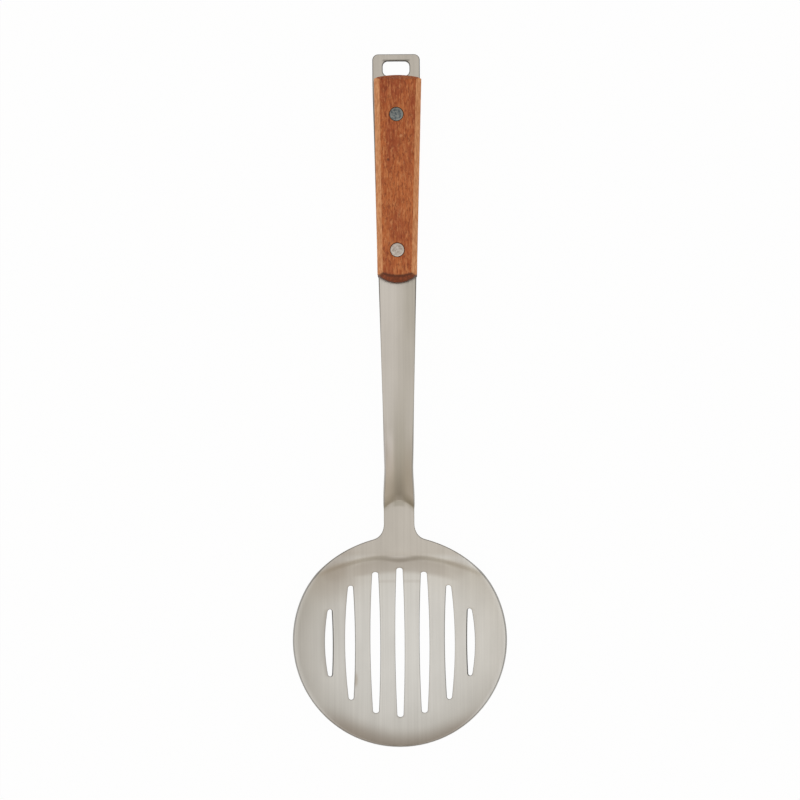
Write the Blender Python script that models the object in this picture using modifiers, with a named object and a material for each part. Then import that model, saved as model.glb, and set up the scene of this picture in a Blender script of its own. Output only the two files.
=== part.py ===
"""Slotted kitchen skimmer, stainless steel with a riveted wooden handle.

One stamped sheet makes the hanging tab, the full tang, the fluted shank, the neck
and the slotted dish. Two wooden scales cover the tang, and two compression rivets,
each a post pressed into a socket, hold them.

It lies on a flat surface with the hollow side of the dish up: +Y runs along the
handle to the hanging tab, +Z is up, and X runs across. The origin is on that
surface, below the middle of the length. Stations are distances along Y from the
middle of the dish. Handle pieces are placed in the handle's own straight line,
which falls towards the tab.
"""
import math

import bmesh
import bpy
import numpy as np

MM = 0.001

# Sheet and outline
SHEET = 1.8 * MM                # thickness of the steel
DISH_RADIUS = 54.65 * MM        # to the middle of the sheet, whose lower edge reaches 55
SHOULDER_STATION = 24.8 * MM    # the round rim ends here and the flatter shoulder starts
SHOULDER_REACH = 21.2 * MM      # how far the shoulder's curve follows the rim's direction
NECK_HALF = 7.8 * MM            # half widths across the strip
SHANK_HALF = 7.1 * MM
TAB_HALF = 12.2 * MM
NECK_FILLET = 6.4 * MM          # reach of the fillet between shoulder and neck
NECK_STATION = 59.6 * MM        # the neck's sides are parallel from here
WAIST_STATION = 89.0 * MM       # narrowest place of the shank
TAB_STATION = 283.0 * MM        # the taper ends here
END_STATION = 301.0 * MM
TAB_CORNER = 3.0 * MM

# Stamped form
DISH_DEPTH = 11.0 * MM
DISH_FULLNESS = 2.2             # 2 is a parabola, more has a flatter floor
CREASE_STATION = 44.8 * MM      # the neck plate meets the dish along this line
CREASE_BEND = 5.2               # the line falls back by this times the distance out squared
CREASE_DIP = 2.2 * MM           # and dips by this much in the middle
CREASE_DIP_WIDTH = 8.0 * MM
CREASE_STEP = 0.3 * MM          # extra rise of the dish just before the line
CREASE_RUN = 3.2 * MM
CREASE_ROUND = 0.45 * MM
NECK_SLOPE = math.radians(4.0)
BEND_STATION = 71.5 * MM        # the shank turns up from the neck here
BEND_SLOPE = math.radians(26.0)
BEND_ROUND = 0.35 * MM
FLUTE_DEPTH = 1.75 * MM         # hollow across the shank, from edge to middle
FLUTE_FULL_STATION = 92.0 * MM
FLUTE_END_STATION = 128.0 * MM
STRAIGHT_STATION = 140.0 * MM   # the handle is straight from here to the tab
HANDLE_FALL = math.radians(6.2)

# Drain slots: place, length, width of the blunt ends, bulge outwards, bulge inwards
SLOTS = (
    (0.0 * MM, 77.0 * MM, 3.1 * MM, 0.9 * MM, 0.9 * MM),
    (12.55 * MM, 72.8 * MM, 3.0 * MM, 1.3 * MM, 0.9 * MM),
    (25.3 * MM, 58.9 * MM, 2.5 * MM, 1.9 * MM, 0.9 * MM),
    (36.05 * MM, 34.7 * MM, 2.1 * MM, 1.7 * MM, 0.45 * MM),
)
SLOT_END_ROUND = 1.4 * MM
SLOTS_STATION = -1.75 * MM      # the slots sit a little towards the dish's tip

# Hanging slot, along the handle's line
HANG_WIDTH = 13.8 * MM
HANG_LENGTH = 7.9 * MM
HANG_CORNER = 2.7 * MM
HANG_BAR = 3.5 * MM             # steel left above the slot

# Wooden scales, along the handle's line
SCALE_STATION = 182.4 * MM      # lower tip of the scales
SCALE_LENGTH = 107.7 * MM
SCALE_THICKNESS = 5.6 * MM
SCALE_LOW_HALF = 10.05 * MM
SCALE_TOP_HALF = 12.15 * MM
SCALE_LOW_ARC = 4.1 * MM        # rise of the round ends
SCALE_TOP_ARC = 2.2 * MM
SIDE_BEVEL_WIDTH = 2.8 * MM
SIDE_BEVEL_DEPTH = 2.6 * MM
END_BEVEL_RUN = 3.0 * MM
END_BEVEL_DEPTH = 3.2 * MM
SCALE_EDGE_ROUND = 0.3 * MM
SCALE_SKEW = math.radians(0.5)  # the front scale sits a little askew on the tang

# Rivets, from the nearer tip of the scales
LOWER_RIVET_INSET = 16.2 * MM
UPPER_RIVET_INSET = 21.2 * MM
HEAD_DIAMETER = 7.0 * MM
HEAD_THICKNESS = 1.3 * MM
HEAD_PROUD = 0.1 * MM
HEAD_CROWN = 0.25 * MM
POST_DIAMETER = 3.4 * MM
SOCKET_WALL = 0.6 * MM
SOCKET_FLOOR = 1.6 * MM

# Clearances
FIT = 0.3 * MM                  # between faces that meet or pass through each other

# Places of the rivets from the scales' lower tip
RIVET_PLACES = {"lower_rivet": LOWER_RIVET_INSET, "upper_rivet": SCALE_LENGTH - UPPER_RIVET_INSET}

# Mesh fineness
COLUMNS = 16
ARC_STEPS = 6

STEEL = ((0.53, 0.50, 0.455, 1.0), 0.34, 1.0)
WOOD = ((0.34, 0.088, 0.032, 1.0), 0.5, 0.0)
RIVET_STEEL = ((0.44, 0.46, 0.46, 1.0), 0.38, 1.0)


def clear_scene():
    for obj in list(bpy.data.objects):
        bpy.data.objects.remove(obj, do_unlink=True)


def new_collection(name):
    collection = bpy.data.collections.new(name)
    bpy.context.scene.collection.children.link(collection)
    return collection


def make_material(name, look):
    colour, roughness, metallic = look
    material = bpy.data.materials.new(name)
    material.use_nodes = True
    shader = material.node_tree.nodes["Principled BSDF"]
    shader.inputs["Base Color"].default_value = colour
    shader.inputs["Roughness"].default_value = roughness
    shader.inputs["Metallic"].default_value = metallic
    material.diffuse_color = colour
    return material


def add_object(name, mesh, collection, parent=None):
    obj = bpy.data.objects.new(name, mesh)
    collection.objects.link(obj)
    obj.parent = parent
    return obj


def add_empty(name, collection, parent=None):
    return add_object(name, None, collection, parent)


def as_cutter(obj):
    obj.hide_render = True
    obj.display_type = 'WIRE'
    return obj


def mesh_from(bm, name):
    bmesh.ops.recalc_face_normals(bm, faces=bm.faces)
    mesh = bpy.data.meshes.new(name)
    bm.to_mesh(mesh)
    bm.free()
    return mesh


def finish_shading(obj, angle):
    obj.data.shade_smooth()
    obj.data.set_sharp_from_angle(angle=angle)


def cut(target, cutter):
    boolean = target.modifiers.new("cut_" + cutter.name, 'BOOLEAN')
    boolean.operation = 'DIFFERENCE'
    boolean.solver = 'EXACT'
    boolean.object = cutter


def bezier(start, handle_a, handle_b, end, steps):
    """Points of a cubic curve, without its start."""
    t = np.linspace(0.0, 1.0, steps + 1)[1:, None]
    start, handle_a, handle_b, end = map(np.array, (start, handle_a, handle_b, end))
    return list((1 - t) ** 3 * start + 3 * (1 - t) ** 2 * t * handle_a
                + 3 * (1 - t) * t ** 2 * handle_b + t ** 3 * end)


def smooth_max(a, b, rounding):
    return 0.5 * (a + b + np.sqrt((a - b) ** 2 + rounding ** 2))


def smooth_min(a, b, rounding):
    return -smooth_max(-a, -b, rounding)


def ease(value, start, end):
    """0 at start, 1 at end, level at both."""
    t = np.clip((value - start) / (end - start), 0.0, 1.0)
    return t * t * (3.0 - 2.0 * t)


def strip_half_width(station):
    """Half width of the neck, the shank and the tang."""
    waist = NECK_HALF + (SHANK_HALF - NECK_HALF) * ease(station, BEND_STATION, WAIST_STATION)
    taper = (station - WAIST_STATION) / (TAB_STATION - WAIST_STATION)
    return waist + (TAB_HALF - SHANK_HALF) * np.clip(taper, 0.0, 1.0)


def outline_rows():
    """Half width and station of each row of the sheet, from the dish's tip to the tab."""
    shoulder = math.asin(SHOULDER_STATION / DISH_RADIUS)
    rows = [(DISH_RADIUS * math.cos(a), DISH_RADIUS * math.sin(a))
            for a in np.linspace(-math.pi / 2, shoulder, 26)]
    rows[0] = (0.0, -DISH_RADIUS)
    along = np.array((-math.sin(shoulder), math.cos(shoulder)))
    start = np.array(rows[-1])
    fillet_start = np.array((NECK_HALF + 0.88 * NECK_FILLET, NECK_STATION - 1.29 * NECK_FILLET))
    shoulder_run = np.array((0.966, -0.258))
    rows += bezier(start, start + SHOULDER_REACH * along,
                   fillet_start + 0.27 * SHOULDER_REACH * shoulder_run, fillet_start, 15)
    rows += bezier(fillet_start, fillet_start - 0.62 * NECK_FILLET * shoulder_run,
                   (NECK_HALF, NECK_STATION - 0.62 * NECK_FILLET),
                   (NECK_HALF, NECK_STATION), 6)
    bend = np.linspace(NECK_STATION, BEND_STATION + 3.5 * MM, 13)[1:]
    shank = np.linspace(BEND_STATION + 3.5 * MM, STRAIGHT_STATION, 17)[1:]
    tang = (SCALE_STATION, TAB_STATION, END_STATION - TAB_CORNER)
    rows += [(strip_half_width(s), s) for s in (*bend, *shank, *tang)]
    centre = (TAB_HALF - TAB_CORNER, END_STATION - TAB_CORNER)
    rows += [(centre[0] + TAB_CORNER * math.cos(a), centre[1] + TAB_CORNER * math.sin(a))
             for a in np.linspace(0.0, math.pi / 2, ARC_STEPS)[1:]]
    return np.array(rows)


def tang_height():
    """Height of the tang's middle plane at the scales' lower tip.

    The back scale touches the ground where its upper end bevel starts.
    """
    corner = SCALE_LENGTH - END_BEVEL_RUN
    below = SHEET / 2 + FIT + SCALE_THICKNESS
    return corner * math.sin(HANDLE_FALL) + below * math.cos(HANDLE_FALL)


def rim_reach():
    """Distance from the dish's middle to the outermost edge of the sheet at the rim."""
    return DISH_RADIUS + SHEET / 2 * math.sin(dish_slope(DISH_RADIUS))


def crease_station(x):
    """Station of the crease, bent back towards both rims."""
    return CREASE_STATION - CREASE_BEND * x ** 2


def bowl_height(x, station):
    """Height of the plain bowl: a power of the distance from its middle."""
    return SHEET / 2 + DISH_DEPTH * (np.hypot(x, station) / DISH_RADIUS) ** DISH_FULLNESS


def dish_height(x, station):
    """Height of the dish: the bowl, with a short steeper step before the crease."""
    foot = crease_station(x) - CREASE_DIP * np.exp(-(x / CREASE_DIP_WIDTH) ** 2)
    return bowl_height(x, station) + CREASE_STEP * ease(station, foot - CREASE_RUN, foot)


def neck_height(x, station):
    """Height of the neck plate, which starts from the dish's own height along the crease.

    Before the crease it turns up, so that the lower of plate and dish is the dish there.
    """
    crease = crease_station(x)
    past = station - crease
    lift = np.where(past < 0.0, 10.0 * past ** 2, math.tan(NECK_SLOPE) * past)
    return bowl_height(x, crease) + CREASE_STEP + lift


def shank_height(station, across):
    """Height of the shank and the tang; across runs from -1 to 1 between the edges."""
    bend = float(neck_height(0.0, BEND_STATION))
    bend_slope = math.tan(BEND_SLOPE)
    fall = -math.tan(HANDLE_FALL)
    straight = tang_height() + fall * (STRAIGHT_STATION - SCALE_STATION)
    span = STRAIGHT_STATION - BEND_STATION
    t = np.clip((station - BEND_STATION) / span, 0.0, 1.0)
    curve = ((2 * t ** 3 - 3 * t ** 2 + 1) * bend + (t ** 3 - 2 * t ** 2 + t) * span * bend_slope
             + (3 * t ** 2 - 2 * t ** 3) * straight + (t ** 3 - t ** 2) * span * fall)
    before = np.minimum(station - BEND_STATION, 0.0) * bend_slope
    after = np.maximum(station - STRAIGHT_STATION, 0.0) * fall
    flute = FLUTE_DEPTH * (1.0 - ease(station, FLUTE_FULL_STATION, FLUTE_END_STATION))
    return curve + before + after + flute * across ** 2


def sheet_height(x, station, across):
    """Height of the sheet's middle surface: past the bend only the shank's form counts."""
    body = smooth_min(dish_height(x, station), neck_height(x, station), CREASE_ROUND)
    body -= np.maximum(station - BEND_STATION, 0.0)
    return smooth_max(body, shank_height(station, across), BEND_ROUND)


def dish_slope(x):
    """Slope of the dish across X, on its middle row."""
    share = x / DISH_RADIUS
    return math.atan(DISH_FULLNESS * DISH_DEPTH / DISH_RADIUS * share ** (DISH_FULLNESS - 1))


def make_prism(name, outline, height, collection, parent):
    """A closed prism of an outline in its own XY plane, centred on that plane."""
    curve = bpy.data.curves.new(name + "_outline", 'CURVE')
    curve.dimensions = '2D'
    curve.fill_mode = 'BOTH'
    curve.extrude = height / 2
    spline = curve.splines.new('POLY')
    spline.points.add(len(outline) - 1)
    for point, (x, y) in zip(spline.points, outline):
        point.co = (x, y, 0.0, 1.0)
    spline.use_cyclic_u = True
    drawn = bpy.data.objects.new(name + "_outline", curve)
    collection.objects.link(drawn)
    depsgraph = bpy.context.evaluated_depsgraph_get()
    mesh = bpy.data.meshes.new_from_object(drawn.evaluated_get(depsgraph))
    bpy.data.objects.remove(drawn)
    bm = bmesh.new()
    bm.from_mesh(mesh)
    bmesh.ops.remove_doubles(bm, verts=bm.verts, dist=0.001 * MM)
    bmesh.ops.recalc_face_normals(bm, faces=bm.faces)
    bm.to_mesh(mesh)
    bm.free()
    return add_object(name, mesh, collection, parent)


def make_turned(name, profile, steps, collection, parent):
    """A turned solid about local Z, from a profile of radius and height, top to bottom."""
    mesh = bpy.data.meshes.new(name)
    edges = [(i, i + 1) for i in range(len(profile) - 1)]
    mesh.from_pydata([(radius, 0.0, height) for radius, height in profile], edges, [])
    obj = add_object(name, mesh, collection, parent)
    screw = obj.modifiers.new("turn", 'SCREW')
    screw.axis = 'Z'
    screw.steps = steps
    screw.render_steps = steps
    screw.use_merge_vertices = True
    screw.merge_threshold = 0.001 * MM
    screw.use_smooth_shade = True
    return obj


def slot_outline(length, end_width, bow_out, bow_in):
    """Pointed oval with blunt round ends; +X is its outer side."""
    half = length / 2
    turns = np.linspace(0.0, math.pi / 2, 5)
    straight = 1.0 - SLOT_END_ROUND / half
    upper = np.concatenate((np.linspace(0.0, straight, 5)[1:],
                            straight + (1.0 - straight) * np.sin(turns[1:])))
    t = np.concatenate((-upper[::-1], (0.0,), upper))
    past = np.clip((np.abs(t) - straight) / (1.0 - straight), 0.0, 1.0)
    narrowing = np.sqrt(np.maximum(1.0 - past ** 2, 0.0))
    outer = (end_width / 2 + bow_out * (1 - t ** 2)) * narrowing
    inner = -(end_width / 2 + bow_in * (1 - t ** 2)) * narrowing
    right = list(zip(outer, half * t))
    left = list(zip(inner, half * t))[::-1]
    return right + left[1:-1]


def make_slot_punches(collection, parent):
    """One punch for each drain slot, square to the sheet across X."""
    punches = []
    depth = 2.6 * (DISH_DEPTH + SHEET)
    for order, (place, length, end_width, bow_out, bow_in) in enumerate(SLOTS):
        outline = slot_outline(length, end_width, bow_out, bow_in)
        for side in ((1, -1) if place > 0.0 else (1,)):
            turned = [(side * x, y) for x, y in outline][::side]
            suffix = "_right" if side > 0 else "_left"
            name = "slot_punch_" + str(order) + suffix
            punch = as_cutter(make_prism(name, turned, depth, collection, parent))
            centre = float(dish_height(place, SLOTS_STATION))
            punch.location = (side * place, SLOTS_STATION, centre)
            punch.rotation_euler = (0.0, -side * dish_slope(place), 0.0)
            punches.append(punch)
    return punches


def rounded_rectangle(width, length, corner):
    points = []
    for quarter, (sx, sy) in enumerate(((1, 1), (-1, 1), (-1, -1), (1, -1))):
        cx = sx * (width / 2 - corner)
        cy = sy * (length / 2 - corner)
        start = quarter * math.pi / 2
        points += [(cx + corner * math.cos(a), cy + corner * math.sin(a))
                   for a in np.linspace(start, start + math.pi / 2, ARC_STEPS)]
    return points


def tang_end():
    """Length of the tang's end from the scales' lower tip, along the handle's line."""
    return (END_STATION - SCALE_STATION) / math.cos(HANDLE_FALL)


def make_hanging_punch(collection, parent):
    outline = rounded_rectangle(HANG_WIDTH, HANG_LENGTH, HANG_CORNER)
    punch = as_cutter(make_prism("hanging_punch", outline, 6 * SHEET, collection, parent))
    punch.location = (0.0, tang_end() - HANG_BAR - HANG_LENGTH / 2, 0.0)
    return punch


def socket_diameter():
    return POST_DIAMETER + 2 * (FIT + SOCKET_WALL)


def make_rivet_drills(collection, parent):
    """Stepped drills: one through hole and a seat for the head in each scale."""
    drills = []
    hole = socket_diameter() / 2 + FIT
    seat = HEAD_DIAMETER / 2 + FIT
    face = SHEET / 2 + FIT + SCALE_THICKNESS
    step = face + HEAD_PROUD - HEAD_THICKNESS - FIT
    beyond = face + 2 * MM
    profile = [(0.0, beyond), (seat, beyond), (seat, step), (hole, step),
               (hole, -step), (seat, -step), (seat, -beyond), (0.0, -beyond)]
    for name, place in RIVET_PLACES.items():
        drill = as_cutter(make_turned(name + "_drill", profile, 28, collection, parent))
        drill.location = (0.0, place, 0.0)
        drills.append(drill)
    return drills


def make_body(collection, parent, punches, material):
    """The stamped sheet: rows across it follow the outline, lifted to the stamped form."""
    rows = outline_rows()
    bm = bmesh.new()
    bmesh.ops.create_grid(bm, x_segments=COLUMNS, y_segments=len(rows) - 1, size=1.0)
    for vert in bm.verts:
        half_width, station = rows[round((vert.co.y + 1.0) / 2 * (len(rows) - 1))]
        across = vert.co.x
        x = across * half_width
        vert.co = (x, station, float(sheet_height(x, station, across)))
    bmesh.ops.remove_doubles(bm, verts=bm.verts, dist=0.001 * MM)
    body = add_object("skimmer_body", mesh_from(bm, "skimmer_body"), collection, parent)
    body.data.materials.append(material)
    solidify = body.modifiers.new("sheet", 'SOLIDIFY')
    solidify.thickness = SHEET
    solidify.offset = 0.0
    solidify.use_even_offset = True
    for punch in punches:
        cut(body, punch)
    finish_shading(body, math.radians(35.0))
    return body


def arc_between(start, end, rise, steps):
    """Points of an arc from start to end on one level, bulging by rise along Y."""
    half = (end[0] - start[0]) / 2
    radius = (half ** 2 + rise ** 2) / (2 * abs(rise))
    spread = math.asin(min(abs(half) / radius, 1.0))
    way = 1.0 if rise > 0 else -1.0
    middle = (start[0] + end[0]) / 2
    points = []
    for a in np.linspace(-spread, spread, steps + 1):
        x = middle + math.copysign(1.0, half) * radius * math.sin(a)
        y = start[1] + rise - way * radius * (1 - math.cos(a))
        points.append((x, y))
    return points


def scale_outline():
    """Outline of a scale from its lower tip at Y = 0, anticlockwise."""
    low = arc_between((-SCALE_LOW_HALF, SCALE_LOW_ARC), (SCALE_LOW_HALF, SCALE_LOW_ARC),
                      -SCALE_LOW_ARC, 10)
    side = SCALE_LENGTH - SCALE_TOP_ARC
    top = arc_between((SCALE_TOP_HALF, side), (-SCALE_TOP_HALF, side), SCALE_TOP_ARC, 8)
    return low + top


def plane_off(bm, point, normal):
    """Cuts away what lies beyond a plane and closes the cut."""
    geometry = bm.verts[:] + bm.edges[:] + bm.faces[:]
    cut_result = bmesh.ops.bisect_plane(bm, geom=geometry, dist=0.0005 * MM, plane_co=point,
                                        plane_no=normal, clear_outer=True)
    edges = [e for e in cut_result["geom_cut"] if isinstance(e, bmesh.types.BMEdge)]
    bmesh.ops.edgenet_fill(bm, edges=edges)


def make_scale(name, facing, collection, parent, drills, material):
    """A scale: a blank with round ends, planed with two long bevels and two end bevels."""
    blank = make_prism(name, scale_outline(), SCALE_THICKNESS, collection, parent)
    bm = bmesh.new()
    bm.from_mesh(blank.data)
    bmesh.ops.dissolve_limit(bm, angle_limit=math.radians(1.0), verts=bm.verts, edges=bm.edges)
    top = SCALE_THICKNESS / 2
    taper = math.atan2(SCALE_TOP_HALF - SCALE_LOW_HALF,
                       SCALE_LENGTH - SCALE_TOP_ARC - SCALE_LOW_ARC)
    lean = math.atan2(SIDE_BEVEL_WIDTH, SIDE_BEVEL_DEPTH)
    for side in (1, -1):
        point = (side * (SCALE_LOW_HALF - SIDE_BEVEL_WIDTH), SCALE_LOW_ARC, top)
        normal = (side * math.cos(lean) * math.cos(taper),
                  -math.cos(lean) * math.sin(taper), math.sin(lean))
        plane_off(bm, point, normal)
    for way, tip in ((-1, 0.0), (1, SCALE_LENGTH)):
        point = (0.0, tip - way * END_BEVEL_RUN, top)
        plane_off(bm, point, (0.0, way * END_BEVEL_DEPTH, END_BEVEL_RUN))
    bmesh.ops.recalc_face_normals(bm, faces=bm.faces)
    bm.to_mesh(blank.data)
    bm.free()
    blank.location = (0.0, 0.0, facing * (SHEET / 2 + FIT + SCALE_THICKNESS / 2))
    if facing < 0:
        blank.rotation_euler = (0.0, math.pi, 0.0)
    else:
        pivot = RIVET_PLACES["lower_rivet"]
        blank.rotation_euler = (0.0, 0.0, -SCALE_SKEW)
        blank.location.x = -pivot * math.sin(SCALE_SKEW)
        blank.location.y = pivot * (1.0 - math.cos(SCALE_SKEW))
    bevel = blank.modifiers.new("edge_round", 'BEVEL')
    bevel.width = SCALE_EDGE_ROUND
    bevel.segments = 1
    bevel.limit_method = 'ANGLE'
    bevel.angle_limit = math.radians(25.0)
    for drill in drills:
        cut(blank, drill)
    blank.data.materials.append(material)
    return blank


def make_rivet(name, place, collection, parent, material):
    """A compression rivet: a post from the front, pressed into a socket from the back."""
    top = SHEET / 2 + FIT + SCALE_THICKNESS + HEAD_PROUD
    under_head = top - HEAD_THICKNESS
    head = HEAD_DIAMETER / 2
    post = POST_DIAMETER / 2
    bore = post + FIT
    tube = socket_diameter() / 2
    floor = -top + SOCKET_FLOOR
    chamfer = 0.3 * MM
    crown = [(head * math.sin(a), top - HEAD_CROWN * math.sin(a) ** 2)
             for a in np.linspace(0.0, math.pi / 2, 4)]
    post_profile = crown + [(head, under_head), (post, under_head),
                            (post, floor + FIT + chamfer), (post - chamfer, floor + FIT),
                            (0.0, floor + FIT)]
    base = [(radius, -height) for radius, height in crown[::-1]]
    socket_profile = [(0.0, floor), (bore, floor), (bore, under_head - FIT),
                      (tube, under_head - FIT), (tube, -under_head), (head, -under_head)] + base
    pieces = (("_post", post_profile), ("_socket", socket_profile))
    for suffix, profile in pieces:
        piece = make_turned(name + suffix, profile, 24, collection, parent)
        piece.location = (0.0, place, 0.0)
        piece.data.materials.append(material)


def build():
    clear_scene()
    parts = new_collection("slotted_skimmer")
    cutters = new_collection("cutters")
    steel = make_material("brushed_stainless", STEEL)
    front_wood = make_material("front_scale_wood", WOOD)
    back_wood = make_material("back_scale_wood", WOOD)
    rivet_steel = make_material("rivet_steel", RIVET_STEEL)

    middle = add_empty("middle_of_length", parts)
    middle.location = (0.0, -(END_STATION - rim_reach()) / 2, 0.0)
    handle = add_empty("handle_line", parts, middle)
    handle.location = (0.0, SCALE_STATION, tang_height())
    handle.rotation_euler = (-HANDLE_FALL, 0.0, 0.0)
    bpy.context.view_layer.update()

    drills = make_rivet_drills(cutters, handle)
    punches = make_slot_punches(cutters, middle)
    punches.append(make_hanging_punch(cutters, handle))
    make_body(parts, middle, punches + drills, steel)
    make_scale("front_scale", 1, parts, handle, drills, front_wood)
    make_scale("back_scale", -1, parts, handle, drills, back_wood)
    for name, place in RIVET_PLACES.items():
        make_rivet(name, place, parts, handle, rivet_steel)


build()
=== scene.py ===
"""Looks of the slotted skimmer: finer surfaces, finishes, floor, light and camera.

The shapes repeat the sizes of the solid model, in metres and in its frame: +Y along
the handle to the hanging tab, +Z up, the origin on the floor below the middle of the
length. Stations are distances along Y from the middle of the dish.
"""
import math

import bpy
import numpy as np
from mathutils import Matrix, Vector


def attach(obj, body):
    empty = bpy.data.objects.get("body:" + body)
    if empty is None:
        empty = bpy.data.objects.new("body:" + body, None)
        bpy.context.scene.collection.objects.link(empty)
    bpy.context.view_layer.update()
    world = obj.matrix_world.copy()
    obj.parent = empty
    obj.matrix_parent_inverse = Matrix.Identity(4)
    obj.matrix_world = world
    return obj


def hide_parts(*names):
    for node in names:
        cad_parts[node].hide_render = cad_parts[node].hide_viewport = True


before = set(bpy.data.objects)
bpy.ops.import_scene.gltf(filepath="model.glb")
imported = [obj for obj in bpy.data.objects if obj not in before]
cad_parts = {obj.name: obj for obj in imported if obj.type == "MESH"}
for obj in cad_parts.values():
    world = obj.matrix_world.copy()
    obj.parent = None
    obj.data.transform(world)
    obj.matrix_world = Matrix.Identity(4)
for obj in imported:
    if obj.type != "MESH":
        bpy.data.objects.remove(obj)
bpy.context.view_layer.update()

MM = 0.001

# Sheet and outline
SHEET = 1.8 * MM
EDGE = 0.28 * MM                # rounding of every cut edge of the sheet
DISH_RADIUS = 54.65 * MM
SHOULDER_STATION = 24.8 * MM
SHOULDER_REACH = 21.2 * MM
SHOULDER_RUN = (0.966, -0.258)  # direction of the shoulder where it meets the fillet
NECK_HALF = 7.8 * MM
SHANK_HALF = 7.1 * MM
TAB_HALF = 12.2 * MM
NECK_FILLET = 6.4 * MM
FILLET_START = (0.88, 1.29)     # its start, out from and before the neck, in fillet sizes
FILLET_HANDLE = 0.62            # lengths of the curves' handles, in fillet sizes
SHOULDER_HANDLE = 0.27          # and in shoulder reaches
NECK_STATION = 59.6 * MM
WAIST_STATION = 89.0 * MM
TAB_STATION = 283.0 * MM
END_STATION = 301.0 * MM
TAB_CORNER = 3.0 * MM

# Stamped form
DISH_DEPTH = 11.0 * MM
DISH_FULLNESS = 2.2
CREASE_STATION = 44.8 * MM      # the neck plate meets the dish along this line
CREASE_BEND = 5.2               # the line falls back by this times the distance out squared
CREASE_DIP = 2.2 * MM           # and dips by this much in the middle
CREASE_DIP_WIDTH = 8.0 * MM
CREASE_STEP = 0.3 * MM          # extra rise of the dish just before the line
CREASE_RUN = 3.2 * MM
CREASE_ROUND = 0.45 * MM
NECK_SLOPE = math.radians(4.0)
NECK_TURN = 10.0                # before the crease it turns up by this times the distance squared
BEND_STATION = 71.5 * MM
BEND_SLOPE = math.radians(26.0)
BEND_ROUND = 0.35 * MM
FLUTE_DEPTH = 1.75 * MM
FLUTE_START_STATION = NECK_STATION - 5 * MM
FLUTE_FULL_STATION = 92.0 * MM
FLUTE_END_STATION = 128.0 * MM
STRAIGHT_STATION = 140.0 * MM
HANDLE_FALL = math.radians(6.2)
RIM_SLOPE = math.atan(DISH_FULLNESS * DISH_DEPTH / DISH_RADIUS)
RIM_REACH = DISH_RADIUS + SHEET / 2 * math.sin(RIM_SLOPE)
MIDDLE_STATION = (END_STATION - RIM_REACH) / 2

# Drain slots: place, length, width of the blunt ends, bulge outwards, bulge inwards
SLOTS = np.array((
    (0.0, 77.0, 3.1, 0.9, 0.9),
    (12.55, 72.8, 3.0, 1.3, 0.9),
    (25.3, 58.9, 2.5, 1.9, 0.9),
    (36.05, 34.7, 2.1, 1.7, 0.45),
)) * MM
SLOT_END_ROUND = 1.4 * MM
SLOTS_STATION = -1.75 * MM      # middle of the slots, a little towards the dish's tip

# Hanging slot, along the handle's line
HANG_WIDTH = 13.8 * MM
HANG_LENGTH = 7.9 * MM
HANG_CORNER = 2.7 * MM
HANG_BAR = 3.5 * MM
HANG_SPREAD = 0.62              # the sheet's columns are moved outwards round this slot
SPREAD_START = 25 * MM          # from this far before it
SPREAD_FULL = 2 * MM

# Wooden scales, along the handle's line
SCALE_STATION = 182.4 * MM
SCALE_LENGTH = 107.7 * MM
SCALE_THICKNESS = 5.6 * MM
SCALE_LOW_HALF = 10.05 * MM
SCALE_TOP_HALF = 12.15 * MM
SCALE_LOW_ARC = 4.1 * MM
SCALE_TOP_ARC = 2.2 * MM
SIDE_BEVEL_WIDTH = 2.8 * MM
SIDE_BEVEL_DEPTH = 2.6 * MM
END_BEVEL_RUN = 3.0 * MM
END_BEVEL_DEPTH = 3.2 * MM
SCALE_SKEW = math.radians(0.5)
LOW_BEVEL_CURVE = 23.5          # the lower bevel's edge curves by this times the distance squared
WOOD_ROUND = 0.35 * MM          # rounding where two faces of the wood meet
WOOD_INSET = 0.12 * MM          # the planed face ends this far inside the outline
WOOD_SHARP = math.radians(32.0)     # edges that turn by more are shaded sharp
ARRIS_WIDTH = 0.55 * MM         # half width of the dark line along the lower bevel's edge
ARRIS_WALL = 0.7                # its strength on the lower end's wall, where it is painted shade
FIT = 0.3 * MM                  # gap between faces that touch in the real object

# Rivets, from the nearer tip of the scales
LOWER_RIVET_INSET = 16.2 * MM
UPPER_RIVET_INSET = 21.2 * MM
RIVET_PLACES = {"lower_rivet": LOWER_RIVET_INSET, "upper_rivet": SCALE_LENGTH - UPPER_RIVET_INSET}
HEAD_DIAMETER = 7.0 * MM
HEAD_THICKNESS = 1.3 * MM
HEAD_PROUD = 0.1 * MM
HEAD_CROWN = 0.25 * MM
HEAD_ROUND = 0.15 * MM
RIVET_SHARP = math.radians(40.0)
POST_DIAMETER = 3.4 * MM
SOCKET_WALL = 0.6 * MM
SOCKET_FLOOR = 1.6 * MM

# Photograph
PICTURE_PIXELS = 800.0
FOCAL_PIXELS = 2268.0           # focal length in pixels of the picture
PIXEL = 0.5124 * MM             # size of a pixel at the height of the dish's rim
RIM_HEIGHT = SHEET / 2 + DISH_DEPTH
CAMERA_ROLL = math.radians(0.39)
CAMERA_SIDE = 0.87 * MM         # the skimmer's line passes this far left of the middle

# Steel, with linear colours
CREASE_Y = CREASE_STATION - MIDDLE_STATION
BEND_Y = BEND_STATION - MIDDLE_STATION
NECK_COLOUR = (0.525, 0.488, 0.435, 1.0)
DISH_COLOUR = (0.645, 0.63, 0.595, 1.0)
# The next colour is painted shade on the cut edges.
EDGE_SHADE_COLOUR = (0.08, 0.072, 0.065, 1.0)
# The next colour is painted shade in the dish.
DISH_SHADE_COLOUR = (0.36, 0.31, 0.26, 1.0)
STAIN_COLOUR = (0.34, 0.27, 0.19, 1.0)
STEEL_ROUGHNESS = 0.3
TONE_RANGE = (0.967, 1.025)     # of the brush lines
HAZE_RANGE = (0.965, 1.015)     # of the smudges
SHADE_POWERS = (1.0, 1.04, 1.25)   # painted shade is warmer, painted highlight cooler
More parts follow.
